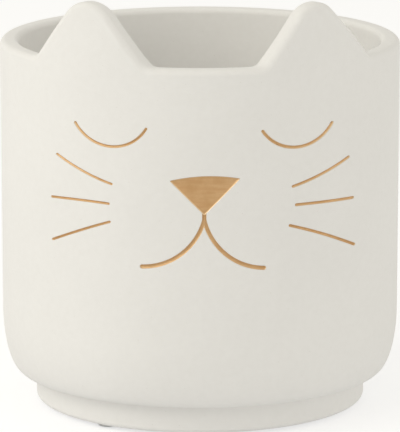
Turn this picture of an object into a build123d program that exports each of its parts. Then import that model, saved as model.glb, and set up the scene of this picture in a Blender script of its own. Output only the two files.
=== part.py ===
from build123d import *
from math import hypot
import os

# Cat-faced cover pot: one pale ceramic casting with two ears standing up from the front of
# its rim, a sleeping face engraved into the wall and laid in with gold, and clear bumpers
# under the foot. +Z is up, the face looks along -Y, and the origin is on the table, under
# the middle of the pot. All lengths are in millimetres, all angles in degrees.

# Casting: the wall, from the rim down to the corner above the foot
rim_diameter = 140.0  # outside
pot_height = 128.5  # from the underside of the foot to the rim
wall_thickness = 6.6
corner_reach = 6.8  # the rounded lower corner: how far it runs inwards
corner_rise = 22.0  # and how far up the wall it starts
rim_outer_round = 2.2
rim_inner_round = 2.0

# Casting: the foot and the well
foot_ledge = 5.1  # the step in from the rounded corner to the side of the foot
foot_height = 10.7
foot_ring_width = 11.5
foot_edge_round = 1.9
recess_height = 7.5  # from the underside of the foot up to the recess inside its ring
floor_thickness = 6.5
well_corner_round = 12.0

# Casting: the ears, cut as rounded triangles square to the wall at the middle of their base.
# They are finished by hand, so each tip has its own height, lean and roundness.
ear_angle = 36.0  # from the middle of the front round to the middle of each base
ear_base_width = 45.4
ear_inner_root_round = 3.5
ear_outer_root_round = 1.5
left_ear_peak = 27.3  # above the rim, before the tip is rounded
left_ear_lean = 1.5  # how far the peak stands in from the middle of the base
left_ear_tip_round = 11.1
right_ear_peak = 25.4
right_ear_lean = 4.4
right_ear_tip_round = 9.1

# Face: engraved by hand, so no two lines match. Drops are measured down from the rim, and
# places sideways from its middle. A whisker is measured sideways from the side of the pot, its
# inset, and then inwards along its run.
groove_depth = 0.8
gold_thickness = 0.35

left_eye_line = 0.9  # the width of the engraved line
left_eye_place = 19.75  # its inner end
left_eye_width = 23.7
left_eye_inner_drop = 20.35
left_eye_outer_drop = 20.3
left_eye_sag = 6.85
right_eye_line = 1.05
right_eye_place = 19.45
right_eye_width = 23.9
right_eye_inner_drop = 21.3
right_eye_outer_drop = 20.7
right_eye_sag = 6.6

left_whisker_line = 0.8
left_upper_whisker_inset = 20.3
left_upper_whisker_run = 18.3
left_upper_whisker_tip_drop = 32.2
left_upper_whisker_root_drop = 40.05
left_upper_whisker_bow = -0.65  # below the straight line when negative
left_middle_whisker_inset = 18.5
left_middle_whisker_run = 19.1
left_middle_whisker_tip_drop = 47.35
left_middle_whisker_root_drop = 46.9
left_middle_whisker_bow = 0.35
left_lower_whisker_inset = 18.65
left_lower_whisker_run = 19.25
left_lower_whisker_tip_drop = 62.15
left_lower_whisker_root_drop = 53.15
left_lower_whisker_bow = 0.45

right_whisker_line = 0.95
right_upper_whisker_inset = 20.7
right_upper_whisker_run = 19.4
right_upper_whisker_tip_drop = 33.6
right_upper_whisker_root_drop = 41.0
right_upper_whisker_bow = -0.6
right_middle_whisker_inset = 19.05
right_middle_whisker_run = 19.9
right_middle_whisker_tip_drop = 48.05
right_middle_whisker_root_drop = 47.45
right_middle_whisker_bow = 0.1
right_lower_whisker_inset = 18.45
right_lower_whisker_run = 22.65
right_lower_whisker_tip_drop = 64.5
right_lower_whisker_root_drop = 54.4
right_lower_whisker_bow = 0.75

nose_width = 23.8
nose_left_drop = 37.8  # down to each of the two upper corners of the nose
nose_right_drop = 37.1
nose_point_drop = 49.4
nose_point_offset = 0.25  # how far its point and the mouth stand left of the middle
nose_bow = 1.4
nose_corner_round = 0.4

mouth_line = 1.4
mouth_stem = 1.65  # from the point of the nose down to the parting of the lips
mouth_round = 22.4
left_lip_reach = 20.95  # from the parting sideways to the corner of the mouth
left_lip_depth = 16.6  # and down to it
right_lip_reach = 20.25
right_lip_depth = 17.2

# Bumpers: clear and tapered, stuck under the foot
pad_count = 3
pad_diameter = 8.0
pad_base_diameter = 5.6
pad_thickness = 1.2
pad_inset = 2.2  # from the side of the foot to the edge of a pad
first_pad_angle = -39.0  # round from the middle of the front, towards the left ear

# Working allowances: how far cutting shapes run past what they cut, and how near two places
# are to be taken as one
overrun = 5.0
same_place = 0.005

# Heights and radii that follow from the sizes above
foot_base_z = pad_thickness
rim_z = foot_base_z + pot_height
corner_z = foot_base_z + foot_height
wall_base_z = corner_z + corner_rise
recess_z = foot_base_z + recess_height
floor_z = recess_z + floor_thickness
clear_of_ears_z = rim_z + max(left_ear_peak, right_ear_peak) + overrun

rim_radius = rim_diameter / 2
well_radius = rim_radius - wall_thickness
corner_radius = rim_radius - corner_reach
foot_radius = corner_radius - foot_ledge
foot_hole_radius = foot_radius - foot_ring_width
ear_half_width = ear_base_width / 2


def turned_body():
    """The casting as turned, its wall carried straight up past the rim to clear the ears."""
    with BuildPart() as body:
        with BuildSketch(Plane.XZ):
            with BuildLine():
                Line((0, recess_z), (foot_hole_radius, recess_z))
                Line((foot_hole_radius, recess_z), (foot_hole_radius, foot_base_z))
                Line((foot_hole_radius, foot_base_z), (foot_radius, foot_base_z))
                Line((foot_radius, foot_base_z), (foot_radius, corner_z))
                Line((foot_radius, corner_z), (corner_radius, corner_z))
                EllipticalCenterArc(
                    (corner_radius, wall_base_z), corner_reach, corner_rise,
                    start_angle=270, arc_size=90,
                )
                Line((rim_radius, wall_base_z), (rim_radius, clear_of_ears_z))
                Line((rim_radius, clear_of_ears_z), (well_radius, clear_of_ears_z))
                Line((well_radius, clear_of_ears_z), (well_radius, floor_z))
                Line((well_radius, floor_z), (0, floor_z))
                Line((0, floor_z), (0, recess_z))
            make_face()
        revolve(axis=Axis.Z)
        fillet(ring_edge(body, foot_radius, foot_base_z), foot_edge_round)
        fillet(ring_edge(body, well_radius, floor_z), well_corner_round)
    return body.part


def ring_edge(body, radius, z):
    """The round edges of a turned body that lie at one radius and one height."""
    return [
        edge for edge in body.edges().filter_by(GeomType.CIRCLE)
        if abs(edge.radius - radius) < same_place and abs(edge.arc_center.Z - z) < same_place
    ]


def ear_outline(outwards, peak, lean, tip_round):
    """One ear seen square on: a triangle with a round tip that flows out of the rim.

    It stands on a strip below the rim, and outwards is the way from the face to the ear.
    """
    outer_root = outwards * ear_half_width
    outer_end = outwards * (ear_half_width + ear_inner_root_round + overrun)
    with BuildSketch() as outline:
        with BuildLine():
            Polyline(
                (-outer_end, -overrun), (outer_end, -overrun), (outer_end, 0),
                (outer_root, 0), (-outwards * lean, peak), (-outer_root, 0),
                (-outer_end, 0), (-outer_end, -overrun),
            )
        make_face()
        corners = outline.vertices()
        fillet(nearest_corner(corners, -outwards * lean, peak), tip_round)
        fillet(nearest_corner(outline.vertices(), outer_root, 0), ear_outer_root_round)
        fillet(nearest_corner(outline.vertices(), -outer_root, 0), ear_inner_root_round)
    return outline.sketch


def nearest_corner(corners, x, y):
    """The corner of a flat outline that lies nearest to a point."""
    return min(corners, key=lambda corner: hypot(corner.X - x, corner.Y - y))


def ear_prism(outwards, peak, lean, tip_round):
    """An ear's outline carried straight out from the axis, turned to its place on the rim."""
    outline = Plane.XZ * Pos(0, rim_z) * ear_outline(outwards, peak, lean, tip_round)
    return Rot(0, 0, outwards * ear_angle) * extrude(outline, rim_radius + overrun)


def trim_to_ears(body):
    """Cut the wall down to the rim, leaving only the two ears standing."""
    above_rim = Pos(0, 0, rim_z) * Cylinder(
        rim_radius + overrun, clear_of_ears_z - rim_z + overrun,
        align=(Align.CENTER, Align.CENTER, Align.MIN),
    )
    above_rim -= ear_prism(-1, left_ear_peak, left_ear_lean, left_ear_tip_round)
    above_rim -= ear_prism(1, right_ear_peak, right_ear_lean, right_ear_tip_round)
    return body - above_rim


def rim_edges(body, inner_limit, outer_limit):
    """The edges from the rim upwards that lie wholly between two radii."""
    found = []
    for edge in body.edges():
        points = [edge @ 0, edge.center(), edge @ 1]
        radii = [hypot(point.X, point.Y) for point in points]
        low = min(point.Z for point in points)
        if low > rim_z - same_place and min(radii) > inner_limit and max(radii) < outer_limit:
            found.append(edge)
    return found


def soften_rim(body):
    """Round the outer and the inner edge of the rim, all the way over both ears."""
    outer = rim_edges(body, rim_radius - same_place, rim_radius + overrun)
    body = fillet(outer, rim_outer_round)
    inner = rim_edges(body, 0, well_radius + same_place)
    return fillet(inner, rim_inner_round)


def arc_line(start, end, sag, width):
    """An engraved line: an arc from start to end, bowed upwards by sag, with round ends."""
    return SlotArc(SagittaArc(start, end, sag), width)


def eye_outline(side, place, width, inner_drop, outer_drop, sag, line):
    """A closed eye, a hanging arc, from its inner end outwards."""
    inner = (side * place, -inner_drop)
    outer = (side * (place + width), -outer_drop)
    return arc_line(inner, outer, -side * sag, line)


def whisker_outline(side, inset, run, tip_drop, root_drop, bow, line):
    """One whisker, from its root near the nose outwards."""
    root = (side * (rim_radius - inset - run), -root_drop)
    tip = (side * (rim_radius - inset), -tip_drop)
    return arc_line(root, tip, side * bow, line)


def nose_outline():
    """The nose, a triangle on its point with a domed upper edge."""
    left = (-nose_width / 2, -nose_left_drop)
    right = (nose_width / 2, -nose_right_drop)
    point = (-nose_point_offset, -nose_point_drop)
    with BuildSketch() as outline:
        with BuildLine():
            SagittaArc(left, right, nose_bow)
            Line(right, point)
            Line(point, left)
        make_face()
        fillet(outline.vertices(), nose_corner_round)
    return outline.sketch


def mouth_outline():
    """The mouth: a short stem below the nose that parts into two hanging lips."""
    parting = (-nose_point_offset, -nose_point_drop - mouth_stem)
    stem = Rectangle(mouth_line, mouth_stem + mouth_line)
    lips = Pos(parting[0], parting[1] + mouth_stem / 2) * stem
    for side, reach, depth in ((-1, left_lip_reach, left_lip_depth),
                               (1, right_lip_reach, right_lip_depth)):
        corner = (parting[0] + side * reach, parting[1] - depth)
        lips += SlotArc(RadiusArc(parting, corner, -side * mouth_round), mouth_line)
    return lips - nose_outline()


def left_outlines():
    """The engraved lines left of the nose, by name."""
    return {
        "left_eye": eye_outline(
            -1, left_eye_place, left_eye_width, left_eye_inner_drop, left_eye_outer_drop,
            left_eye_sag, left_eye_line,
        ),
        "left_upper_whisker": whisker_outline(
            -1, left_upper_whisker_inset, left_upper_whisker_run, left_upper_whisker_tip_drop,
            left_upper_whisker_root_drop, left_upper_whisker_bow, left_whisker_line,
        ),
        "left_middle_whisker": whisker_outline(
            -1, left_middle_whisker_inset, left_middle_whisker_run,
            left_middle_whisker_tip_drop, left_middle_whisker_root_drop,
            left_middle_whisker_bow, left_whisker_line,
        ),
        "left_lower_whisker": whisker_outline(
            -1, left_lower_whisker_inset, left_lower_whisker_run, left_lower_whisker_tip_drop,
            left_lower_whisker_root_drop, left_lower_whisker_bow, left_whisker_line,
        ),
    }


def right_outlines():
    """The engraved lines right of the nose, by name."""
    return {
        "right_eye": eye_outline(
            1, right_eye_place, right_eye_width, right_eye_inner_drop, right_eye_outer_drop,
            right_eye_sag, right_eye_line,
        ),
        "right_upper_whisker": whisker_outline(
            1, right_upper_whisker_inset, right_upper_whisker_run,
            right_upper_whisker_tip_drop, right_upper_whisker_root_drop,
            right_upper_whisker_bow, right_whisker_line,
        ),
        "right_middle_whisker": whisker_outline(
            1, right_middle_whisker_inset, right_middle_whisker_run,
            right_middle_whisker_tip_drop, right_middle_whisker_root_drop,
            right_middle_whisker_bow, right_whisker_line,
        ),
        "right_lower_whisker": whisker_outline(
            1, right_lower_whisker_inset, right_lower_whisker_run,
            right_lower_whisker_tip_drop, right_lower_whisker_root_drop,
            right_lower_whisker_bow, right_whisker_line,
        ),
    }


def face_outlines():
    """Every engraved line of the face, by name, drawn flat with the rim at height zero."""
    middle = {"nose": nose_outline(), "mouth": mouth_outline()}
    return middle | left_outlines() | right_outlines()


def wall_skin(outer_radius, inner_radius):
    """A thin ring of the wall, up to the rim."""
    height = rim_z - wall_base_z
    from_below = (Align.CENTER, Align.CENTER, Align.MIN)
    outer = Cylinder(outer_radius, height, align=from_below)
    inner = Cylinder(inner_radius, height, align=from_below)
    return Pos(0, 0, wall_base_z) * (outer - inner)


def pressed_in(outline, skin):
    """What a face outline, pushed straight in from the front, takes out of a skin."""
    placed = Plane.XZ * Pos(0, rim_z) * outline
    return extrude(placed, rim_radius + overrun) & skin


def bumper_pad(index):
    """One tapered bumper, its wide face stuck to the underside of the foot ring."""
    angle = first_pad_angle + index * 360 / pad_count
    reach = foot_radius - pad_inset - pad_diameter / 2
    from_below = (Align.CENTER, Align.CENTER, Align.MIN)
    pad = Cone(pad_base_diameter / 2, pad_diameter / 2, pad_thickness, align=from_below)
    return Rot(0, 0, angle) * Pos(0, -reach) * pad


def main():
    """Build every piece and write each to its own file."""
    os.makedirs("parts", exist_ok=True)
    outlines = face_outlines()
    groove_radius = rim_radius - groove_depth
    groove_skin = wall_skin(rim_radius + overrun, groove_radius)
    gold_skin = wall_skin(groove_radius + gold_thickness, groove_radius)

    pot = soften_rim(trim_to_ears(turned_body()))
    pieces = {}
    for name, outline in outlines.items():
        pot -= pressed_in(outline, groove_skin)
        pieces[f"{name}_gold"] = pressed_in(outline, gold_skin)
    pieces["pot"] = pot
    for index in range(pad_count):
        pieces[f"bumper_pad_{index + 1}"] = bumper_pad(index)

    for name, piece in pieces.items():
        export_step(piece, f"parts/{name}.step")
        print(name, "volume", round(piece.volume, 2), "solids", len(piece.solids()))


main()
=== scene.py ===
"""A cat-faced ceramic cover pot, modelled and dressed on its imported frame.

The pot stands on z = 0 with its axis on the z axis, and its face looks along -Y. Pieces are
modelled in millimetres and brought to metres when their surface is finished. Angles are in
degrees.
"""
import logging
import math
from collections.abc import Callable, Sequence
from dataclasses import dataclass, field
from enum import Enum

import bpy
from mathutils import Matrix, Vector


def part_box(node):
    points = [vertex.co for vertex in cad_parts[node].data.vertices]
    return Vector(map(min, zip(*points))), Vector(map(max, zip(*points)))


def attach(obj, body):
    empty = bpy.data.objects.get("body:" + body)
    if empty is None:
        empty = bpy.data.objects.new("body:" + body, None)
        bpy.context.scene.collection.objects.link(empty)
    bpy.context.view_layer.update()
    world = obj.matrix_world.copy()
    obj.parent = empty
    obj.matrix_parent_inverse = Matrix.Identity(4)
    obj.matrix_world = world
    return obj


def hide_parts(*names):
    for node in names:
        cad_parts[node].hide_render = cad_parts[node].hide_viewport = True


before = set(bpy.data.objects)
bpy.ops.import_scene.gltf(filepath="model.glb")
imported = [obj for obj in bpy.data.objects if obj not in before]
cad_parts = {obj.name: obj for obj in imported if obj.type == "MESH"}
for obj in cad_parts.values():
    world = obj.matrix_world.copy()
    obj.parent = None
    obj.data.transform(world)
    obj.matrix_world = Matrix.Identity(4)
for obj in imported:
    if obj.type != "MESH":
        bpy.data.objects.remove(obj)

MM = 0.001
SAME_PLACE = 0.001  # mm: points of an outline that are nearer than this are one
END_STEPS = 10  # edges round the end of an engraved line
SORT_PLACE = (7.3, -2.9, 41.7)  # mm: off every plane in which the pot mirrors itself
log = logging.getLogger("cat_pot")

Point = tuple[float, float]
Colour = tuple[float, float, float, float]


class Side(Enum):
    """The two halves of the face, as seen from the front."""

    LEFT = -1
    RIGHT = 1


class Level(Enum):
    """The three whiskers of one side."""

    UPPER = "upper"
    MIDDLE = "middle"
    LOWER = "lower"


class Element(Enum):
    """What a mesh is picked apart by."""

    VERTEX = "VERT"
    EDGE = "EDGE"
    FACE = "FACE"


class Operation(Enum):
    """What one solid does to another."""

    CUT = "DIFFERENCE"
    ADD = "UNION"
    KEEP = "INTERSECT"


# Working by hand


def select_none() -> None:
    """Leave object mode with nothing selected, so that the next operator starts clean."""
    if bpy.context.object and bpy.context.object.mode != "OBJECT":
        bpy.ops.object.mode_set(mode="OBJECT")
    bpy.ops.object.select_all(action="DESELECT")


def activate(piece: bpy.types.Object) -> None:
    """Make a piece the only selected and the active one.

    Args:
        piece: the object to work on.
    """
    select_none()
    piece.select_set(True)
    bpy.context.view_layer.objects.active = piece


def named(name: str) -> bpy.types.Object:
    """Name the primitive that was just added.

    Args:
        name: the piece's name.

    Returns:
        The new object.
    """
    piece = bpy.context.object
    piece.name = name
    piece.data.name = name
    return piece


def copied(piece: bpy.types.Object, name: str) -> bpy.types.Object:
    """Copy a piece together with its mesh.

    Args:
        piece: the object to copy.
        name: the copy's name.

    Returns:
        The copy, which has a mesh of its own.
    """
    activate(piece)
    bpy.ops.object.duplicate(linked=False)
    return named(name)


def apply_place(piece: bpy.types.Object) -> None:
    """Put a piece's place and turn into its mesh, and its object at the origin.

    Args:
        piece: the object that was placed or turned.
    """
    activate(piece)
    bpy.ops.object.transform_apply(location=True, rotation=True, scale=True)


def edit_all(piece: bpy.types.Object) -> None:
    """Open a piece for editing with everything selected.

    Args:
        piece: the mesh object.
    """
    activate(piece)
    bpy.ops.object.mode_set(mode="EDIT")
    bpy.ops.mesh.select_all(action="SELECT")


def close_edit() -> None:
    """Go back from edit mode to object mode."""
    bpy.ops.object.mode_set(mode="OBJECT")


def pick(piece: bpy.types.Object, element: Element, wanted: Callable[..., bool]) -> int:
    """Open a piece for editing with only some of its vertices, edges or faces selected.

    Args:
        piece: the mesh object.
        element: what is selected.
        wanted: is given a vertex's place, an edge's two ends, or a face's centre and normal,
            and says whether it is selected.

    Returns:
        How many are selected.
    """
    activate(piece)
    bpy.ops.object.mode_set(mode="EDIT")
    bpy.ops.mesh.select_mode(type=element.value)
    bpy.ops.mesh.select_all(action="DESELECT")
    close_edit()
    mesh = piece.data
    count = 0
    if element is Element.VERTEX:
        chosen = [(vertex, (vertex.co,)) for vertex in mesh.vertices]
    elif element is Element.EDGE:
        chosen = [
            (edge, tuple(mesh.vertices[index].co for index in edge.vertices))
            for edge in mesh.edges
        ]
    else:
        chosen = [(face, (face.center, face.normal)) for face in mesh.polygons]
    for each, places in chosen:
        each.select = wanted(*places)
        count += each.select
    bpy.ops.object.mode_set(mode="EDIT")
    return count


def combine(piece: bpy.types.Object, tool: bpy.types.Object, operation: Operation) -> None:
    """Cut a tool out of a piece, add it, or keep what both share, and use the tool up.

    Args:
        piece: the object that changes.
        tool: the object that is worked with, and then removed.
        operation: what the tool does.
    """
    activate(piece)
    modifier = piece.modifiers.new(name="combine", type="BOOLEAN")
    modifier.operation = operation.value
    modifier.solver = "EXACT"
    modifier.material_mode = "TRANSFER"
    modifier.object = tool
    bpy.ops.object.modifier_apply(modifier=modifier.name)
    bpy.data.objects.remove(tool, do_unlink=True)
    put_in_order(piece)


def put_in_order(piece: bpy.types.Object) -> None:
    """Sort points, edges and faces, whose order after a boolean differs from run to run.

    Args:
        piece: the object that a boolean has changed.
    """
    edit_all(piece)
    cursor = bpy.context.scene.cursor
    cursor.location = SORT_PLACE
    bpy.ops.mesh.sort_elements(type="CURSOR_DISTANCE", elements={"VERT", "EDGE", "FACE"})
    cursor.location = (0.0, 0.0, 0.0)
    close_edit()


def joined(pieces: Sequence[bpy.types.Object]) -> bpy.types.Object:
    """Join separate solids into one object.

    Args:
        pieces: the solids, which don't touch each other.

    Returns:
        The first of them, with the rest in it.
    """
    select_none()
    for piece in pieces:
        piece.select_set(True)
    bpy.context.view_layer.objects.active = pieces[0]
    bpy.ops.object.join()
    return pieces[0]


def finish_surface(piece: bpy.types.Object, angle: float) -> None:
    """Bring a piece to metres and shade it smooth, its broad faces true beside small rounds.

    Args:
        piece: the finished mesh object, in millimetres.
        angle: edges sharper than this stay crisp.
    """
    edit_all(piece)
    bpy.ops.transform.resize(value=(MM, MM, MM), center_override=(0.0, 0.0, 0.0))
    close_edit()
    bpy.ops.object.shade_smooth_by_angle(angle=math.radians(angle))
    modifier = piece.modifiers.new(name="broad faces", type="WEIGHTED_NORMAL")
    modifier.keep_sharp = True
    bpy.ops.object.modifier_apply(modifier=modifier.name)


def clad(
    piece: bpy.types.Object, material: bpy.types.Material, slot: str, *nodes: str
) -> None:
    """Give a piece its finish and let it stand for its CAD nodes.

    Args:
        piece: the finished piece.
        material: its finish.
        slot: the name of a material slot, which is not used.
        nodes: the CAD nodes it stands for.
    """
    piece.data.materials.clear()
    piece.data.materials.append(material)
    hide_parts(*nodes)
    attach(piece, "root")
    log.info("%s: %d faces", piece.name, len(piece.data.polygons))


def turned(name: str, profile: Sequence[Point], columns: int) -> bpy.types.Object:
    """Turn a closed round body, drawn out ring by ring from a first disc to a last one.

    Args:
        name: the piece's name.
        profile: radius and height of each ring in turn.
        columns: faces around.

    Returns:
        The turned body.
    """
    select_none()
    radius, z = profile[0]
    bpy.ops.mesh.primitive_circle_add(
        vertices=columns, radius=radius, fill_type="NGON", location=(0.0, 0.0, z)
    )
    piece = named(name)
    apply_place(piece)
    edit_all(piece)
    for next_radius, next_z in profile[1:]:
        bpy.ops.mesh.extrude_region_move(
            TRANSFORM_OT_translate={"value": (0.0, 0.0, next_z - z)}
        )
        share = next_radius / radius
        bpy.ops.transform.resize(value=(share, share, 1.0), center_override=(0.0, 0.0, next_z))
        radius, z = next_radius, next_z
    bpy.ops.mesh.select_all(action="SELECT")
    bpy.ops.mesh.normals_make_consistent(inside=False)
    close_edit()
    return piece


def quarter(
    centre: Point, reach: float, rise: float, start: float, steps: int, turn: float = 90.0
) -> list[Point]:
    """Points along part of an ellipse, the first left out.

    Args:
        centre: radius and height of its centre.
        reach: its half width.
        rise: its half height.
        start: angle of the first point, anticlockwise from outwards.
        steps: how many points.
        turn: how far it goes round, clockwise when negative.

    Returns:
        The points in turn.
    """
    points = []
    for step in range(1, steps + 1):
        angle = math.radians(start + turn * step / steps)
        points.append((centre[0] + reach * math.cos(angle), centre[1] + rise * math.sin(angle)))
    return points


class Pen:
    """Draws a flat outline, seen from the front, by extruding and spinning its last point."""

    def __init__(self, name: str, start: Point) -> None:
        """Put the pen down.

        Args:
            name: the outline's name.
            start: x and z of its first point.
        """
        select_none()
        bpy.ops.mesh.primitive_plane_add(size=1.0, location=(start[0], 0.0, start[1]))
        self.piece = named(name)
        apply_place(self.piece)
        edit_all(self.piece)
        bpy.ops.mesh.select_mode(type=Element.VERTEX.value)
        bpy.ops.mesh.merge(type="CENTER")
        self.place = Vector(start)

    def line(self, end: Point) -> None:
        """Draw a straight line to a point.

        Args:
            end: x and z of the point.
        """
        step = Vector(end) - self.place
        bpy.ops.mesh.extrude_vertices_move(
            TRANSFORM_OT_translate={"value": (step.x, 0.0, step.y)}
        )
        self.place = Vector(end)

    def arc(self, centre: Point, turn: float, steps: int) -> None:
        """Draw an arc.

        Args:
            centre: x and z that it goes round.
            turn: how far, anticlockwise when positive.
            steps: edges along it.
        """
        bpy.ops.mesh.spin(
            steps=steps, angle=math.radians(turn), center=(centre[0], 0.0, centre[1]),
            axis=(0.0, 1.0, 0.0),
        )
        spoke = self.place - Vector(centre)
        angle = math.radians(turn)
        self.place = Vector(centre) + Vector((
            spoke.x * math.cos(angle) - spoke.y * math.sin(angle),
            spoke.x * math.sin(angle) + spoke.y * math.cos(angle),
        ))

    def close(self) -> bpy.types.Object:
        """Join the outline up and fill it.

        Returns:
            The flat outline.
        """
        bpy.ops.mesh.select_all(action="SELECT")
        bpy.ops.mesh.remove_doubles(threshold=SAME_PLACE)
        bpy.ops.mesh.edge_face_add()
        close_edit()
        return self.piece


def bowed(start: Point, end: Point, bow: float) -> tuple[Vector, float]:
    """Where an arc through two points has its centre, and how far it turns.

    Args:
        start: its first point.
        end: its last point.
        bow: how far it stands off the straight line, to the left of its way when positive.

    Returns:
        The centre, and the turn, anticlockwise when positive.
    """
    chord = Vector(end) - Vector(start)
    half = chord.length / 2
    radius = (half * half + bow * bow) / (2 * abs(bow))
    left = Vector((-chord.y, chord.x)).normalized()
    middle = (Vector(start) + Vector(end)) / 2
    centre = middle - left * math.copysign(radius - abs(bow), bow)
    turn = math.degrees(2 * math.asin(half / radius))
    return centre, -math.copysign(turn, bow)


def stroke(name: str, start: Point, end: Point, bow: float, width: float) -> bpy.types.Object:
    """Draw one engraved line: a bowed band with round ends.

    Args:
        name: the outline's name.
        start: the middle of its first end.
        end: the middle of its last end.
        bow: as in bowed.
        width: its width.

    Returns:
        The flat outline.
    """
    centre, turn = bowed(start, end, bow)
    steps = round((Vector(end) - Vector(start)).length)  # about one edge each millimetre
    outwards = (Vector(start) - centre).normalized() * width / 2
    half_turn = math.copysign(180.0, turn)
    pen = Pen(name, Vector(start) + outwards)
    pen.arc(centre, turn, steps)
    pen.arc(end, half_turn, END_STEPS)
    pen.arc(centre, -turn, steps)
    pen.arc(start, half_turn, END_STEPS)
    return pen.close()


# The casting


@dataclass
class Ear:
    """One ear: a triangle with a round tip, cut square to the wall at the middle of its base."""

    side: Side
    peak: float
    lean: float
    tip_round: float
    base_width: float = 45.4
    inner_root_round: float = 3.5
    outer_root_round: float = 1.5
    place_angle: float = 36.0

    def height_over(self, place: Vector) -> float:
        """How high the ear stands above the rim over a place on it.

        Args:
            place: a place on the rim.

        Returns:
            The height, zero beside the ear.
        """
        out = self.side.value
        middle = math.radians(out * self.place_angle)
        if place.x * math.sin(middle) - place.y * math.cos(middle) < 0:
            return 0.0
        across = out * (place.x * math.cos(middle) + place.y * math.sin(middle))
        half = self.base_width / 2
        flanks = (
            (half, half + self.lean, self.outer_root_round),
            (-half, half - self.lean, self.inner_root_round),
        )
        for root, run, root_round in flanks:
            from_root = (root - across) * math.copysign(1.0, root)
            from_tip = run - from_root
            if from_tip >= 0:
                return self._flank(from_root, run, root_round)
        return 0.0

    def _flank(self, from_root: float, run: float, root_round: float) -> float:
        """The height of one flank, round at its root and at the tip.

        Args:
            from_root: how far the place lies in from the flank's root.
            run: how far the tip lies in from the root.
            root_round: radius of the round at the root.

        Returns:
            The height above the rim.
        """
        slope = math.atan2(self.peak, run)
        other = math.atan2(self.peak, self.base_width - run)
        root_reach = root_round * math.tan(slope / 2)
        if from_root < root_reach * math.cos(slope):
            before = max(from_root + root_reach, 0.0)
            return root_round - math.sqrt(root_round**2 - before**2)
        opening = math.pi - slope - other
        tip_reach = self.tip_round / math.tan(opening / 2)
        if from_root > run - tip_reach * math.cos(slope):
            centre_run = run - tip_reach * math.cos(slope) + self.tip_round * math.sin(slope)
            centre_rise = self.peak - tip_reach * math.sin(slope)
            centre_rise -= self.tip_round * math.cos(slope)
            return centre_rise + math.sqrt(self.tip_round**2 - (from_root - centre_run) ** 2)
        return from_root * math.tan(slope)


def pushed_out(outline: bpy.types.Object, reach: float) -> None:
    """Carry a flat outline straight forwards from the pot's axis.

    Args:
        outline: the flat outline, which becomes a solid.
        reach: how far it goes.
    """
    edit_all(outline)
    bpy.ops.mesh.extrude_region_move(TRANSFORM_OT_translate={"value": (0.0, -reach, 0.0)})
    bpy.ops.mesh.select_all(action="SELECT")
    bpy.ops.mesh.normals_make_consistent(inside=False)
    close_edit()


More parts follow.
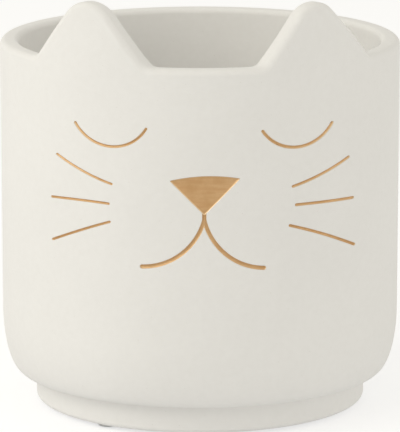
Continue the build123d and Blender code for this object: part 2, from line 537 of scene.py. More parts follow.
@dataclass
class Casting:
    """The pot itself: wall, foot, well and both ears, in one piece."""

    foot_z: float = 1.2
    height: float = 128.5
    rim_radius: float = 70.0
    wall: float = 6.6
    wall_lean: float = 0.2
    corner_reach: float = 6.6
    corner_rise: float = 22.0
    foot_ledge: float = 5.1
    foot_height: float = 10.7
    foot_ring: float = 11.5
    foot_round: float = 1.9
    crease_round: float = 0.9
    recess_round: float = 3.0
    recess_height: float = 7.5
    floor: float = 6.5
    well_round: float = 12.0
    rim_outer_round: float = 2.2
    rim_inner_round: float = 2.0
    columns: int = 720
    corner_steps: int = 30
    well_steps: int = 16
    foot_steps: int = 8
    recess_steps: int = 6
    crease_steps: int = 5
    rim_steps: int = 7
    overrun: float = 5.0
    near: float = 0.1  # what is nearer than this to a surface lies on it
    smooth_angle: float = 35.0
    ears: tuple[Ear, ...] = (
        Ear(Side.LEFT, peak=27.3, lean=1.5, tip_round=11.1),
        Ear(Side.RIGHT, peak=25.4, lean=4.4, tip_round=9.1),
    )

    @property
    def rim_z(self) -> float:
        """Height of the rim above the table."""
        return self.foot_z + self.height

    @property
    def wall_base_z(self) -> float:
        """Height at which the wall starts to turn in."""
        return self.foot_z + self.foot_height + self.corner_rise

    @property
    def well_radius(self) -> float:
        """Inside radius of the wall."""
        return self.rim_radius - self.wall

    @property
    def foot_radius(self) -> float:
        """Outside radius of the foot."""
        return self.wall_radius(self.wall_base_z) - self.corner_reach - self.foot_ledge

    def wall_radius(self, z: float) -> float:
        """Outside radius of the wall at a height."""
        drop = (self.rim_z - z) / (self.rim_z - self.wall_base_z)
        return self.rim_radius - self.wall_lean * drop

    def _outside(self) -> list[Point]:
        """Work out the outside below the wall.

        Returns:
            Radius and height of each ring, from the wall's base down to the recess.
        """
        corner_z = self.foot_z + self.foot_height
        recess_z = self.foot_z + self.recess_height
        foot = self.foot_radius
        corner_radius = foot + self.foot_ledge
        hole = foot - self.foot_ring
        points = [(self.wall_radius(self.wall_base_z), self.wall_base_z)]
        points += quarter(
            (corner_radius, self.wall_base_z), self.corner_reach, self.corner_rise, 0.0,
            self.corner_steps, -90.0,
        )
        r = self.crease_round
        points.append((foot + r, corner_z))
        points += quarter((foot + r, corner_z - r), r, r, 90.0, self.crease_steps)
        r = self.foot_round
        points.append((foot, self.foot_z + r))
        points += quarter((foot - r, self.foot_z + r), r, r, 0.0, self.foot_steps, -90.0)
        points.append((hole + r, self.foot_z))
        points += quarter((hole + r, self.foot_z + r), r, r, 270.0, self.recess_steps, -90.0)
        r = self.recess_round
        points.append((hole, recess_z - r))
        points += quarter((hole - r, recess_z - r), r, r, 0.0, self.recess_steps)
        return points + [(hole / 2, recess_z)]

    def _inside(self) -> list[Point]:
        """Work out the bottom of the well.

        Returns:
            Radius and height of each ring, from the top of the well's corner to its floor.
        """
        floor_z = self.foot_z + self.recess_height + self.floor
        r = self.well_round
        points = [(self.well_radius, floor_z + r)]
        points += quarter((self.well_radius - r, floor_z + r), r, r, 0.0, self.well_steps, -90.0)
        return points + [((self.well_radius - r) / 2, floor_z)]

    def model(self, engraving: Sequence[bpy.types.Object]) -> bpy.types.Object:
        """Raise the ears on a flat rim, draw the body down from it, engrave and soften it.

        Args:
            engraving: the solids that cut the face, which are used up.

        Returns:
            The casting.
        """
        piece = self._rim()
        self._raise_ears(piece)
        self._draw_down(piece, self.rim_radius, self._outside())
        self._draw_down(piece, self.well_radius, self._inside())
        edit_all(piece)
        bpy.ops.mesh.normals_make_consistent(inside=False)
        close_edit()
        combine(piece, joined(engraving), Operation.CUT)
        self._soften(piece, self.rim_radius, self.rim_outer_round)
        self._soften(piece, self.well_radius, self.rim_inner_round)
        return piece

    def _rim(self) -> bpy.types.Object:
        """Lay the flat ring that is the top of the wall.

        Returns:
            The ring.
        """
        select_none()
        bpy.ops.mesh.primitive_circle_add(
            vertices=self.columns, radius=self.rim_radius, fill_type="NOTHING",
            location=(0.0, 0.0, self.rim_z),
        )
        piece = named("ceramic_casting")
        apply_place(piece)
        edit_all(piece)
        bpy.ops.mesh.extrude_edges_move()
        share = self.well_radius / self.rim_radius
        bpy.ops.transform.resize(value=(share, share, 1.0), center_override=(0.0, 0.0, self.rim_z))
        close_edit()
        return piece

    def _raise_ears(self, piece: bpy.types.Object) -> None:
        """Lift the ring to the outline of both ears.

        Args:
            piece: the ring.
        """
        peak = max(ear.peak for ear in self.ears)
        group = piece.vertex_groups.new(name="ears")
        for vertex in piece.data.vertices:
            height = sum(ear.height_over(vertex.co) for ear in self.ears)
            group.add([vertex.index], height / peak, "REPLACE")
        lift = piece.modifiers.new(name="ears", type="DISPLACE")
        lift.direction = "Z"
        lift.mid_level = 0.0
        lift.strength = peak
        lift.vertex_group = group.name
        activate(piece)
        bpy.ops.object.modifier_apply(modifier=lift.name)
        piece.vertex_groups.clear()

    def _draw_down(
        self, piece: bpy.types.Object, radius: float, rings: Sequence[Point]
    ) -> None:
        """Draw one edge of the rim down, ring by ring, and close the last ring.

        Args:
            piece: the rim.
            radius: the radius of the edge.
            rings: radius and height of each ring.
        """
        pick(piece, Element.EDGE, lambda a, b: self._at(a, radius) and self._at(b, radius))
        was, was_z = radius, rings[0][1]
        bpy.ops.mesh.extrude_edges_move()
        bpy.ops.transform.resize(value=(1.0, 1.0, 0.0), center_override=(0.0, 0.0, was_z))
        for index, (ring, z) in enumerate(rings):
            if index:
                bpy.ops.mesh.extrude_edges_move(
                    TRANSFORM_OT_translate={"value": (0.0, 0.0, z - was_z)}
                )
            share = ring / was
            bpy.ops.transform.resize(value=(share, share, 1.0), center_override=(0.0, 0.0, z))
            was, was_z = ring, z
        bpy.ops.mesh.edge_face_add()
        close_edit()

    def _at(self, place: Vector, radius: float) -> bool:
        """Whether a place lies on the rim or an ear at that radius."""
        high = place.z > self.rim_z - self.near / 10
        return high and abs(math.hypot(place.x, place.y) - radius) < self.near

    def _soften(self, piece: bpy.types.Object, radius: float, rounding: float) -> None:
        """Round one edge of the rim all the way over the ears.

        Args:
            piece: the cut body.
            radius: the radius that the edge runs at.
            rounding: radius of the round.
        """
        count = pick(
            piece, Element.EDGE, lambda a, b: self._at(a, radius) and self._at(b, radius)
        )
        bpy.ops.mesh.bevel(
            offset_type="OFFSET", offset=rounding, segments=self.rim_steps, profile=0.5,
            affect="EDGES", clamp_overlap=False,
        )
        close_edit()
        log.info("rim edge at %.1f mm: %d edges rounded", radius, count)

    def dress(self, piece: bpy.types.Object, finish: bpy.types.Material) -> None:
        """Smooth the casting and give it its finish.

        Args:
            piece: the casting.
            finish: its finish.
        """
        finish_surface(piece, self.smooth_angle)
        clad(piece, finish, "matte_ceramic", "pot")


# The face


@dataclass
class Whisker:
    """One whisker: an engraved line from its root near the nose to its tip."""

    side: Side
    level: Level
    inset: float
    run: float
    tip_drop: float
    root_drop: float
    bow: float
    line: float

    def outline(self, rim_radius: float, rim_z: float) -> bpy.types.Object:
        """Draw the whisker.

        Args:
            rim_radius: the pot's radius, from which it is measured inwards.
            rim_z: the rim's height, from which it is measured down.

        Returns:
            Its flat outline.
        """
        out = self.side.value
        root = (out * (rim_radius - self.inset - self.run), rim_z - self.root_drop)
        tip = (out * (rim_radius - self.inset), rim_z - self.tip_drop)
        name = f"{self.side.name.lower()}_{self.level.value}_whisker"
        return stroke(name, root, tip, out * self.bow, self.line)


@dataclass
class Eye:
    """A closed eye: a hanging arc, from its inner end outwards."""

    side: Side
    place: float
    width: float
    inner_drop: float
    outer_drop: float
    sag: float
    line: float

    def outline(self, rim_z: float) -> bpy.types.Object:
        """Draw the eye.

        Args:
            rim_z: the rim's height, from which it is measured down.

        Returns:
            Its flat outline.
        """
        out = self.side.value
        inner = (out * self.place, rim_z - self.inner_drop)
        outer = (out * (self.place + self.width), rim_z - self.outer_drop)
        name = f"{self.side.name.lower()}_eye"
        return stroke(name, inner, outer, -out * self.sag, self.line)


@dataclass
class Nose:
    """The nose: a triangle on its point, with a domed upper edge."""

    width: float = 23.8
    left_drop: float = 37.8
    right_drop: float = 37.1
    point_drop: float = 49.4
    point_offset: float = 0.25
    bow: float = 1.4
    corner_round: float = 0.4
    bow_steps: int = 24
    corner_steps: int = 4
    near: float = 0.01

    def point(self, rim_z: float) -> Point:
        """Where its point is."""
        return (-self.point_offset, rim_z - self.point_drop)

    def outline(self, rim_z: float) -> bpy.types.Object:
        """Draw the nose.

        Args:
            rim_z: the rim's height, from which it is measured down.

        Returns:
            Its flat outline.
        """
        left = (-self.width / 2, rim_z - self.left_drop)
        right = (self.width / 2, rim_z - self.right_drop)
        point = self.point(rim_z)
        centre, turn = bowed(left, right, self.bow)
        pen = Pen("nose", left)
        pen.arc(centre, turn, self.bow_steps)
        pen.line(point)
        piece = pen.close()
        corners = (left, right, point)

        def at_corner(place: Vector) -> bool:
            """Whether a place is one of the three corners."""
            return any(math.hypot(place.x - x, place.z - z) < self.near for x, z in corners)

        pick(piece, Element.VERTEX, at_corner)
        bpy.ops.mesh.bevel(
            offset=self.corner_round, segments=self.corner_steps, affect="VERTICES",
            clamp_overlap=False,
        )
        close_edit()
        return piece


@dataclass
class Mouth:
    """The mouth: a short stem below the nose that parts into two hanging lips."""

    line: float = 1.4
    stem: float = 1.65
    radius: float = 22.4
    left_reach: float = 20.95
    left_depth: float = 16.6
    right_reach: float = 20.25
    right_depth: float = 17.2

    def outlines(self, stem_top: Point) -> list[bpy.types.Object]:
        """Draw the stem and both lips.

        Args:
            stem_top: the nose's point.

        Returns:
            Their flat outlines, which overlap.
        """
        x, z = stem_top
        parting = (x, z - self.stem)
        half = self.line / 2
        top, foot = z + self.line, parting[1] - half
        pen = Pen("mouth", (x - half, top))
        for end in ((x - half, foot), (x + half, foot), (x + half, top)):
            pen.line(end)
        drawn = [pen.close()]
        lips = (
            (Side.LEFT, self.left_reach, self.left_depth),
            (Side.RIGHT, self.right_reach, self.right_depth),
        )
        for side, reach, depth in lips:
            chord = math.hypot(reach, depth)
            bow = self.radius - math.sqrt(self.radius**2 - (chord / 2) ** 2)
            corner = (x + side.value * reach, parting[1] - depth)
            drawn.append(
                stroke(f"lip_{side.name}", parting, corner, -side.value * bow, self.line)
            )
        return drawn


@dataclass
class Face:
    """The sleeping face: what is engraved into the wall and laid in with gold."""

    casting: Casting
    groove_depth: float = 0.8
    film_climb: float = 0.66  # how far the gold climbs the walls of a groove
    film_hollow: float = 0.46  # how far it has come down in the middle
    film_bank_share: float = 0.34  # of the line's width, over which it comes down
    nose_bank: float = 0.4
    mouth_bank: float = 0.35  # narrow enough for the fork of its lips
    lip_round: float = 0.24
    lip_steps: int = 3
    lip_angle: float = 40.0  # edges sharper than this are lips
    lip_room_share: float = 1.6  # of a lip's round, which the wall keeps free beside it
    end_step: float = 1.0  # between the ends of crossing solids, so that none share a plane
    crowding: float = 0.06  # points of a lip that stand closer than this become one
    upright_lean: float = 0.01  # how far off plumb an upright edge of the wall may be
    frontwards: float = 0.3  # how far a face looks to the front that is a film's outer side
    film_smooth_angle: float = 75.0
    nose: Nose = field(default_factory=Nose)
    mouth: Mouth = field(default_factory=Mouth)
    eyes: tuple[Eye, ...] = (
        Eye(Side.LEFT, 19.75, 23.7, 20.35, 20.3, 6.85, line=0.9),
        Eye(Side.RIGHT, 19.45, 23.9, 21.3, 20.7, 6.6, line=1.05),
    )
    whiskers: tuple[Whisker, ...] = (
        Whisker(Side.LEFT, Level.UPPER, 20.3, 18.3, 32.2, 40.05, -0.65, line=0.8),
        Whisker(Side.LEFT, Level.MIDDLE, 18.5, 19.1, 47.35, 46.9, 0.35, line=0.8),
        Whisker(Side.LEFT, Level.LOWER, 18.65, 19.25, 62.15, 53.15, 0.45, line=0.8),
        Whisker(Side.RIGHT, Level.UPPER, 20.7, 19.4, 33.6, 41.0, -0.6, line=0.95),
        Whisker(Side.RIGHT, Level.MIDDLE, 19.05, 19.9, 48.05, 47.45, 0.1, line=0.95),
        Whisker(Side.RIGHT, Level.LOWER, 18.45, 22.65, 64.5, 54.4, 0.75, line=0.95),
    )

    def solids(self) -> list[bpy.types.Object]:
        """Carry the outlines of the face from the pot's axis out through the wall.

        Returns:
            One solid for each field of gold, the nose first and the mouth, which runs into
            the nose's point, last.
        """
        rim_z = self.casting.rim_z
        drawn = [self.nose.outline(rim_z)]
        drawn += [eye.outline(rim_z) for eye in self.eyes]
        drawn += [whisker.outline(self.casting.rim_radius, rim_z) for whisker in self.whiskers]
        mouth = self.mouth.outlines(self.nose.point(rim_z))
        for steps, outline in enumerate(mouth, start=1):
            outline.location.y -= steps * self.end_step
            apply_place(outline)
        for outline in drawn + mouth:
            pushed_out(outline, self.casting.rim_radius + self.casting.overrun)
        combine(mouth[0], mouth[1], Operation.ADD)
        combine(mouth[0], mouth[2], Operation.ADD)
        return drawn + mouth[:1]

    def cutters(self, solids: Sequence[bpy.types.Object]) -> list[bpy.types.Object]:
        """Give the solids the floors of their grooves, which are bent round the wall.

        Args:
            solids: the solids of the face, of which the nose's is used up.

        Returns:
            What engraves the face, with nose and mouth in one.
        """
        combine(solids[-1], solids[0], Operation.ADD)
        for solid in solids[1:]:
            combine(solid, self._core(self.groove_depth), Operation.CUT)
        return list(solids[1:])

    def _core(self, depth: float) -> bpy.types.Object:
        """Turn a core that lies under the surface of the wall.

        Args:
            depth: how far under it.

        Returns:
            The core.
        """
        casting = self.casting
        low, high = casting.wall_base_z, casting.rim_z
        ends = [(casting.wall_radius(z) - depth, z) for z in (low, high)]
        return turned("core", ends, casting.columns)

    def films(self, solids: Sequence[bpy.types.Object]) -> list[bpy.types.Object]:
        """Model the film of gold that lies in each groove.

        Args:
            solids: the solids of the face.

        Returns:
            The films, in the same order.
        """
        films = [copied(solid, f"{solid.name}_gilding") for solid in solids]
        combine(films[-1], copied(solids[0], "nose_gap"), Operation.CUT)
        banks = [self.nose_bank]
        banks += [each.line * self.film_bank_share for each in (*self.eyes, *self.whiskers)]
        banks.append(self.mouth_bank)
        for film, bank in zip(films, banks):
            combine(film, self._core(self.groove_depth), Operation.CUT)
            combine(film, self._core(self.groove_depth - self.film_climb), Operation.KEEP)
            self._hollow(film, bank)
        return films

    def _hollow(self, film: bpy.types.Object, bank: float) -> None:
        """Sink the middle of a film, so that the gold climbs the walls of its groove.

        Args:
            film: the film of gold.
            bank: how wide the slope down from each wall is.
        """
        casting = self.casting
        depth = self.groove_depth - self.film_climb

        def on_face(centre: Vector, normal: Vector) -> bool:
            """Whether a face is part of the film's outer side."""
            off = math.hypot(centre.x, centre.y) - casting.wall_radius(centre.z) + depth
            return abs(off) < casting.near / 2 and normal.y < -self.frontwards

        count = pick(film, Element.FACE, on_face)
        bpy.ops.mesh.inset(thickness=bank, depth=-self.film_hollow, use_even_offset=True)
        close_edit()
        log.info("%s: %d faces hollowed", film.name, count)

    def soften_lips(self, pot: bpy.types.Object) -> None:
        """Round the sharp lips of the engraving a little.

        Args:
            pot: the engraved casting.
        """
        casting = self.casting
        high = casting.rim_z - casting.overrun
        low = casting.wall_base_z

        def on_wall(place: Vector) -> bool:
            """Whether a place is on the wall, where the face is."""
            off = abs(math.hypot(place.x, place.y) - casting.wall_radius(place.z))
            return low < place.z < high and place.y < 0 and off < casting.near

        self._pick_lips(pot, on_wall)
        bpy.ops.mesh.select_mode(type=Element.VERTEX.value)
        bpy.ops.mesh.remove_doubles(threshold=self.crowding)
        self._clear_uprights(pot, on_wall)
        count = self._pick_lips(pot, on_wall)
        bpy.ops.mesh.bevel(
            offset_type="OFFSET", offset=self.lip_round, segments=self.lip_steps, profile=0.5,
            affect="EDGES", clamp_overlap=False, loop_slide=False, material=0,
        )
        close_edit()
        log.info("lips of the engraving: %d edges rounded", count)

    def _clear_uprights(
        self, pot: bpy.types.Object, on_wall: Callable[[Vector], bool]
    ) -> None:
        """Take out the wall's upright edges that leave no room beside a lip for its round.

        Args:
            pot: the engraved casting.
            on_wall: says whether a place is on the wall, where the face is.
        """
        self._pick_lips(pot, on_wall)
        close_edit()
        room = self.lip_room_share * self.lip_round
        lips: dict[int, list[Vector]] = {}
        for vertex in pot.data.vertices:
            if vertex.select:
                for bin_index in range(round(vertex.co.x) - 1, round(vertex.co.x) + 2):
                    lips.setdefault(bin_index, []).append(vertex.co.copy())

        def crowded(a: Vector, b: Vector) -> bool:
            """Tell whether an edge is upright, on the wall, and too near a lip that it misses.

            Args:
                a: the place of its one end.
                b: the place of its other end.

            Returns:
                Whether it has to go.
            """
            lean = math.hypot(a.x - b.x, a.y - b.y)
            upright = lean <= self.upright_lean * abs(a.z - b.z)
            if not upright or a.y > 0 or not (on_wall(a) or on_wall(b)):
                return False
            low, high = sorted((a.z, b.z))
            for lip in lips.get(round(a.x), []):
                beside = math.hypot(lip.x - a.x, lip.y - a.y)
                if beside < room and low + room / 4 < lip.z < high - room / 4:
                    return True
            return False

        count = pick(pot, Element.EDGE, crowded)
        bpy.ops.mesh.dissolve_edges(use_verts=False, use_face_split=False)
        close_edit()
        log.info("%d upright edges taken out beside the lips", count)

    def _pick_lips(self, pot: bpy.types.Object, on_wall: Callable[[Vector], bool]) -> int:
        """Open the pot for editing with only the sharp lips of the engraving selected.

        Args:
            pot: the engraved casting.
            on_wall: says whether a place is on the wall, where the face is.

        Returns:
            How many edges are selected.
        """
        activate(pot)
        bpy.ops.object.mode_set(mode="EDIT")
        bpy.ops.mesh.select_mode(type=Element.EDGE.value)
        bpy.ops.mesh.select_all(action="DESELECT")
        bpy.ops.mesh.edges_select_sharp(sharpness=math.radians(self.lip_angle))
        close_edit()
        vertices = pot.data.vertices
        count = 0
        for edge in pot.data.edges:
            ends = [vertices[index].co for index in edge.vertices]
            edge.select = edge.select and on_wall(ends[0]) and on_wall(ends[1])
            count += edge.select
        bpy.ops.object.mode_set(mode="EDIT")
        return count

    def dress(self, films: Sequence[bpy.types.Object], finish: bpy.types.Material) -> None:
        """Smooth the films of gold and give them their finish.

        Args:
            films: the films.
            finish: their finish.
        """
        for film in films:
            finish_surface(film, self.film_smooth_angle)
            clad(film, finish, "gold_paint", film.name.replace("_gilding", "_gold"))


# The bumpers


@dataclass
class Bumper:
    """A clear domed bumper: flat where it is stuck to the foot, rounded where it stands."""

    diameter: float = 8.0
    standing_diameter: float = 4.6
    thickness: float = 1.2
    edge: float = 0.12
    columns: int = 64
    dome_steps: int = 10
    smooth_angle: float = 50.0

    def model(self, name: str, place: Vector) -> bpy.types.Object:
        """Turn one bumper in its place under the foot.

        Args:
            name: its name.
            place: the middle of its standing face.

        Returns:
            The bumper.
        """
        radius = self.diameter / 2
        standing = self.standing_diameter / 2
        rise = self.thickness - self.edge
        points = [(standing, 0.0)]
        points += quarter((standing, rise), radius - standing, rise, 270.0, self.dome_steps)
        points.append((radius, self.thickness))
        piece = turned(name, points, self.columns)
        piece.location = place
        apply_place(piece)
        return piece

    def dress(self, piece: bpy.types.Object, finish: bpy.types.Material, node: str) -> None:
        """Smooth one bumper and give it its finish.

        Args:
            piece: the bumper.
            finish: its finish.
            node: the CAD node it stands for.
        """
        finish_surface(piece, self.smooth_angle)
        clad(piece, finish, "clear_silicone", node)


# Finishes


def srgb(code: str) -> Colour:
    """Turn a colour written as hex into the linear values that a shader takes.

    Args:
        code: six hex digits.

    Returns:
        Linear red, green, blue and full alpha.
    """
    channels = [int(code[start:start + 2], 16) / 255 for start in (0, 2, 4)]
    linear = [c / 12.92 if c <= 0.04045 else ((c + 0.055) / 1.055) ** 2.4 for c in channels]
    return (*linear, 1.0)


def per(size: float) -> float:
    """The texture scale that gives a pattern about that size."""
    return 1.0 / size


def add(
    tree: bpy.types.NodeTree,
    kind: str,
    inputs: dict[str | int, object] | None = None,
    **settings: object,
) -> bpy.types.Node:
    """Add a node, set it up and link it.

    Args:
        tree: the node tree.
        kind: the node's type.
        inputs: for each input, a value or the output that is linked to it.
        settings: the node's own settings.

    Returns:
        The node.
    """
    node = tree.nodes.new(kind)
    for key, value in settings.items():
        setattr(node, key, value)
    for key, value in (inputs or {}).items():
        if isinstance(value, bpy.types.NodeSocket):
            tree.links.new(value, node.inputs[key])
        else:
            node.inputs[key].default_value = value
    return node


def fresh(name: str) -> tuple[bpy.types.Material, bpy.types.NodeTree]:
    """Make an empty material.

    Args:
        name: the material's name.

    Returns:
        The material and its node tree.
    """
    material = bpy.data.materials.new(name)
    material.use_nodes = True
    material.node_tree.nodes.clear()
    return material, material.node_tree


def clouded(
    tree: bpy.types.NodeTree, place: bpy.types.NodeSocket, size: float, detail: float,
    span: Point, levels: Point = (0.0, 1.0),
) -> bpy.types.NodeSocket:
    """Lay a cloudy pattern whose value runs between two levels.

    Args:
        tree: the node tree.
        place: the coordinates that the pattern follows.
        size: about how large its clouds are.
        detail: how many finer sizes are in it.
        span: the part of the noise that runs from one level to the other.
        levels: the two levels.

    Returns:
        The pattern's value.
    """
    cloud = add(
        tree, "ShaderNodeTexNoise", {"Vector": place, "Scale": per(size), "Detail": detail}
    )
    ranged = add(
        tree, "ShaderNodeMapRange",
        {
            "Value": cloud.outputs["Fac"], "From Min": span[0], "From Max": span[1],
            "To Min": levels[0], "To Max": levels[1],
        },
    )
    return ranged.outputs["Result"]


def layered(
    tree: bpy.types.NodeTree, base: str, *layers: tuple[bpy.types.NodeSocket, str]
) -> bpy.types.NodeSocket:
    """Lay colours over each other.

    Args:
        tree: the node tree.
        base: the lowest colour.
        layers: how much of it shows, and the colour, for each layer from the lowest up.

    Returns:
        The colour of them all.
    """
    tone = srgb(base)
    for share, colour in layers:
        tone = add(
            tree, "ShaderNodeMix", {0: share, 6: tone, 7: srgb(colour)}, data_type="RGBA"
        ).outputs[2]
    return tone


@dataclass(frozen=True)
class Ceramic:
    """Matte cast ceramic: chalky and even, with the faint marks of casting and sponging."""

    body: str = "EEEDEB"
    pale: str = "F0EFED"
    shade: str = "E3E1DE"
    fleck: str = "C4BEB4"
    roughness: float = 0.8
    ior: float = 1.45
    specular: float = 0.2
    sponged: float = 0.08  # how far the roughness wanders either way
    mottled: float = 0.16  # the most shade in the mottling
    flecked: float = 0.4  # the most colour of a fleck
    cloud_size: float = 38 * MM
    mottle_size: float = 2.2 * MM
    grit_spacing: float = 3.2 * MM
    sponge_size: float = 9 * MM
    wave_size: float = 26 * MM
    wave_height: float = 0.16 * MM
    grain_size: float = 0.6 * MM
    grain_height: float = 0.02 * MM

    def material(self) -> bpy.types.Material:
        """Build the finish.

        Returns:
            The material.
        """
        material, tree = fresh("matte cast ceramic, sponged and left unglazed")
        place = add(tree, "ShaderNodeTexCoord").outputs["Object"]
        # Broad soft clouds, as the body dries unevenly in its mould
        clouds = clouded(tree, place, self.cloud_size, 3.0, (0.35, 0.65))
        # Fine mottling, so that the matte surface looks chalky and not like plastic
        mottle = clouded(tree, place, self.mottle_size, 6.0, (0.3, 0.7), (0.0, self.mottled))
        # Sparse grit in the body, drawn a little larger than it is
        grit = add(
            tree, "ShaderNodeTexVoronoi", {"Vector": place, "Scale": per(self.grit_spacing)}
        )
        grit = add(
            tree, "ShaderNodeMapRange",
            {
                "Value": grit.outputs["Distance"], "From Min": 0.02, "From Max": 0.055,
                "To Min": self.flecked, "To Max": 0.0,
            },
        ).outputs["Result"]
        tone = layered(
            tree, self.body, (clouds, self.pale), (mottle, self.shade), (grit, self.fleck)
        )
        # The sheen varies where a sponge went over it
        sponge = clouded(
            tree, place, self.sponge_size, 4.0, (0.3, 0.7),
            (self.roughness - self.sponged, self.roughness + self.sponged),
        )
        # Slight waves of a hand-finished wall
        waves = add(
            tree, "ShaderNodeTexNoise",
            {"Vector": place, "Scale": per(self.wave_size), "Detail": 1.0},
        )
        waves = add(
            tree, "ShaderNodeBump",
            {"Height": waves.outputs["Fac"], "Distance": self.wave_height, "Strength": 1.0},
        )
        # Grain that breaks the light up close
        grain = add(
            tree, "ShaderNodeTexNoise",
            {"Vector": place, "Scale": per(self.grain_size), "Detail": 3.0},
        )
        grain = add(
            tree, "ShaderNodeBump",
            {
                "Height": grain.outputs["Fac"], "Distance": self.grain_height, "Strength": 1.0,
                "Normal": waves.outputs["Normal"],
            },
        )
        shader = add(
            tree, "ShaderNodeBsdfPrincipled",
            {
                "Base Color": tone, "Roughness": sponge, "Normal": grain.outputs["Normal"],
                "IOR": self.ior, "Specular IOR Level": self.specular,
            },
        )
        add(tree, "ShaderNodeOutputMaterial", {"Surface": shader.outputs["BSDF"]})
        return material


@dataclass(frozen=True)
class GoldPaint:
    """Matte gold paint, laid into the engraving with a brush."""

    gold: str = "CCA171"
    deep: str = "C29765"
    bright: str = "D5AF81"
    # Pale cream of the groove banks: partly paint wiped thin, partly a painted highlight
    wiped_and_highlit: str = "EAD3AE"
    roughness: float = 0.45
    metallic: float = 0.7
    flaked: float = 0.06  # how far the roughness wanders either way
    pooled: float = 0.5  # the most deep colour where the paint pools
    most_wiped_and_highlit: float = 0.9  # the most pale colour on the banks, where the paint is wiped thin and a highlight is painted
    streak_size: float = 0.9 * MM
    streak_height: float = 0.03 * MM
    streak_squeeze: float = 0.12  # sideways, which makes a streak eight times as long as high
    pool_size: float = 4.0 * MM
    flake_size: float = 0.5 * MM
    wall_radius: float = 69.9 * MM  # the wall's surface in the middle of the face
    wiped_and_highlit_from: float = 0.5 * MM  # how deep under the surface the banks start to turn pale
    wiped_and_highlit_to: float = 0.18 * MM  # and where they are palest

    def material(self) -> bpy.types.Material:
        """Build the finish.

        Returns:
            The material.
        """
        material, tree = fresh("matte gold paint, brushed into the engraving")
        place = add(tree, "ShaderNodeTexCoord").outputs["Object"]
        # The brush went from side to side, so its streaks are long across and fine upwards
        along = add(
            tree, "ShaderNodeMapping",
            {"Vector": place, "Scale": (self.streak_squeeze, self.streak_squeeze, 1.0)},
        )
        streaks = add(
            tree, "ShaderNodeTexNoise",
            {"Vector": along.outputs["Vector"], "Scale": per(self.streak_size), "Detail": 3.0},
        )
        brushed = add(
            tree, "ShaderNodeBump",
            {"Height": streaks.outputs["Fac"], "Distance": self.streak_height, "Strength": 1.0},
        )
        streaks = add(
            tree, "ShaderNodeMapRange",
            {"Value": streaks.outputs["Fac"], "From Min": 0.3, "From Max": 0.7},
        ).outputs["Result"]
        # The paint pools and thins a little, so its tone wanders
        pools = clouded(tree, place, self.pool_size, 3.0, (0.4, 0.7), (0.0, self.pooled))
        # Paler on the banks of each groove, up towards the wall's surface: partly paint wiped thin,
        # partly a painted highlight of light caught by the banks
        flat = add(
            tree, "ShaderNodeVectorMath", {0: place, 1: (1.0, 1.0, 0.0)}, operation="MULTIPLY"
        )
        level = add(
            tree, "ShaderNodeVectorMath", {0: flat.outputs["Vector"]}, operation="LENGTH"
        )
        wiped_and_highlit_share = add(
            tree, "ShaderNodeMapRange",
            {
                "Value": level.outputs["Value"],
                "From Min": self.wall_radius - self.wiped_and_highlit_from,
                "From Max": self.wall_radius - self.wiped_and_highlit_to, "To Max": self.most_wiped_and_highlit,
            },
        ).outputs["Result"]
        tone = layered(
            tree, self.gold, (streaks, self.bright), (pools, self.deep), (wiped_and_highlit_share, self.wiped_and_highlit)
        )
        # Metal flakes catch the light unevenly
        flakes = clouded(
            tree, place, self.flake_size, 2.0, (0.3, 0.7),
            (self.roughness - self.flaked, self.roughness + self.flaked),
        )
        shader = add(
            tree, "ShaderNodeBsdfPrincipled",
            {
                "Base Color": tone, "Roughness": flakes, "Metallic": self.metallic,
                "Normal": brushed.outputs["Normal"],
            },
        )
        add(tree, "ShaderNodeOutputMaterial", {"Surface": shader.outputs["BSDF"]})
        return material


@dataclass(frozen=True)
class ClearSilicone:
    """Clear moulded silicone with a faint satin skin."""

    tint: str = "F4F5F3"
    roughness: float = 0.25
    ior: float = 1.41
    clearness: float = 0.55
    dulled: float = 0.12  # how much rougher the skin is where it was handled
    patch_size: float = 1.8 * MM

    def material(self) -> bpy.types.Material:
        """Build the finish.

        Returns:
            The material.
        """
        material, tree = fresh("clear silicone, moulded with a satin skin")
        place = add(tree, "ShaderNodeTexCoord").outputs["Object"]
        # Handling leaves the skin a little duller in patches
        skin = clouded(
            tree, place, self.patch_size, 3.0, (0.3, 0.7),
            (self.roughness, self.roughness + self.dulled),
        )
        shader = add(
            tree, "ShaderNodeBsdfPrincipled",
            {
                "Base Color": srgb(self.tint), "Roughness": skin, "IOR": self.ior,
                "Transmission Weight": self.clearness,
            },
        )
        add(tree, "ShaderNodeOutputMaterial", {"Surface": shader.outputs["BSDF"]})
        return material


# The studio


@dataclass
class Lamp:
    """A soft square lamp, aimed at the pot."""

    name: str
    azimuth: float
    elevation: float
    distance: float
    size: float
    power: float

    def hang(self, target: Vector, colour: Colour) -> None:
        """Put the lamp up.

        Args:
            target: the place it is aimed at.
            colour: the colour of its light.
        """
        data = bpy.data.lights.new(self.name, "AREA")
        data.shape = "SQUARE"
        data.size = self.size
        data.energy = self.power
        data.color = colour[:3]
        lamp = bpy.data.objects.new(self.name, data)
        bpy.context.scene.collection.objects.link(lamp)
        lamp.location = target + around(self.azimuth, self.elevation) * self.distance
        lamp.rotation_euler = (target - lamp.location).to_track_quat("-Z", "Y").to_euler()


def around(azimuth: float, elevation: float) -> Vector:
    """The direction to a place round the pot, azimuth 0 in front and 90 at its right."""
    a, e = math.radians(azimuth), math.radians(elevation)
    return Vector((math.sin(a) * math.cos(e), -math.cos(a) * math.cos(e), math.sin(e)))


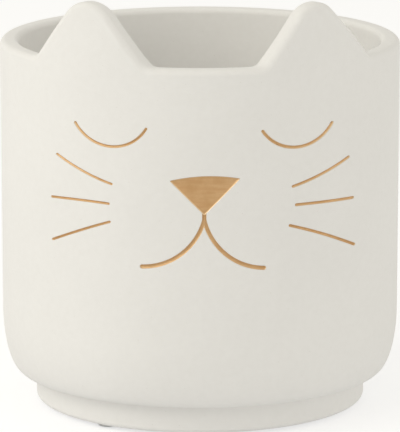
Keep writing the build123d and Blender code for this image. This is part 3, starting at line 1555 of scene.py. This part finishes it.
@dataclass
class Studio:
    """The white studio: a pale floor, soft lamps and the camera."""

    aim_z: float = 65.45 * MM
    camera_distance: float = 1449.0 * MM
    camera_azimuth: float = -1.4
    camera_elevation: float = 11.83
    lens: float = 341.67
    ambient: float = 0.79
    zenith_share: float = 0.8  # how bright the room is overhead, against its walls
    warmth: Colour = (1.0, 0.975, 0.9, 1.0)
    sensor: float = 36.0
    floor_radius: float = 6.0
    floor_columns: int = 96
    floor_colour: str = "C6C6C6"
    floor_glow: float = 0.27  # the light table under the pot
    floor_lift: float = 0.27  # what the camera sees on top of it, up to white
    lamps: tuple[Lamp, ...] = (
        Lamp("key lamp", azimuth=-74.0, elevation=30.0, distance=1.6, size=1.0, power=6.2),
        Lamp("front lamp", azimuth=-34.0, elevation=32.0, distance=1.6, size=0.8, power=2.1),
        Lamp("fill lamp", azimuth=80.0, elevation=1.0, distance=1.6, size=1.0, power=4.4),
    )

    def set_up(self) -> None:
        """Lay the floor, light the pot and place the camera."""
        self._floor()
        self._world()
        target = Vector((0.0, 0.0, self.aim_z))
        for lamp in self.lamps:
            lamp.hang(target, self.warmth)
        self._camera(target)
        bpy.context.scene.view_settings.view_transform = "Standard"

    def _floor(self) -> None:
        """Lay a pale floor that shows white to the camera but for the pot's shadow."""
        select_none()
        bpy.ops.mesh.primitive_circle_add(
            vertices=self.floor_columns, radius=self.floor_radius, fill_type="NGON",
            location=(0.0, 0.0, 0.0),
        )
        floor = named("studio_floor")
        material, tree = fresh("pale studio floor")
        path = add(tree, "ShaderNodeLightPath")
        diffuse = add(tree, "ShaderNodeBsdfDiffuse", {"Color": srgb(self.floor_colour)})
        lift = add(
            tree, "ShaderNodeMath", {0: path.outputs["Is Camera Ray"], 1: self.floor_lift},
            operation="MULTIPLY",
        )
        glow = add(
            tree, "ShaderNodeMath", {0: lift.outputs[0], 1: self.floor_glow}, operation="ADD"
        )
        glow = add(tree, "ShaderNodeEmission", {"Strength": glow.outputs[0]})
        both = add(tree, "ShaderNodeAddShader", {0: diffuse.outputs[0], 1: glow.outputs[0]})
        add(tree, "ShaderNodeOutputMaterial", {"Surface": both.outputs[0]})
        floor.data.materials.append(material)

    def _world(self) -> None:
        """Light the room evenly, and show it white where it is seen or mirrored."""
        world = bpy.data.worlds.new("white room")
        bpy.context.scene.world = world
        world.use_nodes = True
        tree = world.node_tree
        tree.nodes.clear()
        path = add(tree, "ShaderNodeLightPath")
        seen = path.outputs["Is Camera Ray"]
        for name in ("Is Glossy Ray", "Is Transmission Ray"):
            seen = add(
                tree, "ShaderNodeMath", {0: seen, 1: path.outputs[name]}, operation="MAXIMUM"
            ).outputs[0]
        # The room's walls are brighter than its ceiling, and its light is a little warm
        upwards = add(
            tree, "ShaderNodeSeparateXYZ", {0: add(tree, "ShaderNodeTexCoord").outputs["Generated"]}
        ).outputs["Z"]
        overhead = self.ambient * self.zenith_share
        level = add(
            tree, "ShaderNodeMapRange",
            {"Value": upwards, "To Min": self.ambient, "To Max": overhead},
        ).outputs["Result"]
        lit = add(tree, "ShaderNodeBackground", {"Color": self.warmth, "Strength": level})
        plain = add(tree, "ShaderNodeBackground", {"Color": srgb("FFFFFF"), "Strength": 1.0})
        room = add(
            tree, "ShaderNodeMixShader", {0: seen, 1: lit.outputs[0], 2: plain.outputs[0]}
        )
        add(tree, "ShaderNodeOutputWorld", {"Surface": room.outputs[0]})

    def _camera(self, target: Vector) -> None:
        """Place the camera that sees what the photograph shows.

        Args:
            target: the place it is aimed at.
        """
        data = bpy.data.cameras.new("camera")
        data.lens = self.lens
        data.sensor_width = self.sensor
        camera = bpy.data.objects.new("camera", data)
        bpy.context.scene.collection.objects.link(camera)
        place = around(self.camera_azimuth, self.camera_elevation) * self.camera_distance
        camera.location = target + place
        camera.rotation_euler = (target - camera.location).to_track_quat("-Z", "Y").to_euler()
        bpy.context.scene.camera = camera


def main() -> None:
    """Build the pot's pieces in order, dress them and set up the studio."""
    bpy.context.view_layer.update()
    ceramic = Ceramic().material()
    gold = GoldPaint().material()
    silicone = ClearSilicone().material()

    casting = Casting()
    face = Face(casting)
    solids = face.solids()
    films = face.films(solids)
    pot = casting.model(face.cutters(solids))
    face.soften_lips(pot)
    casting.dress(pot, ceramic)
    face.dress(films, gold)

    bumper = Bumper()
    for index in range(1, 4):
        node = f"bumper_pad_{index}"
        low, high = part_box(node)
        place = Vector(((low.x + high.x) / 2, (low.y + high.y) / 2, 0.0)) / MM
        bumper.dress(bumper.model(f"clear_bumper_{index}", place), silicone, node)

    Studio().set_up()


if __name__ == "__main__":
    logging.basicConfig(level=logging.INFO, format="%(name)s: %(message)s")
    main()
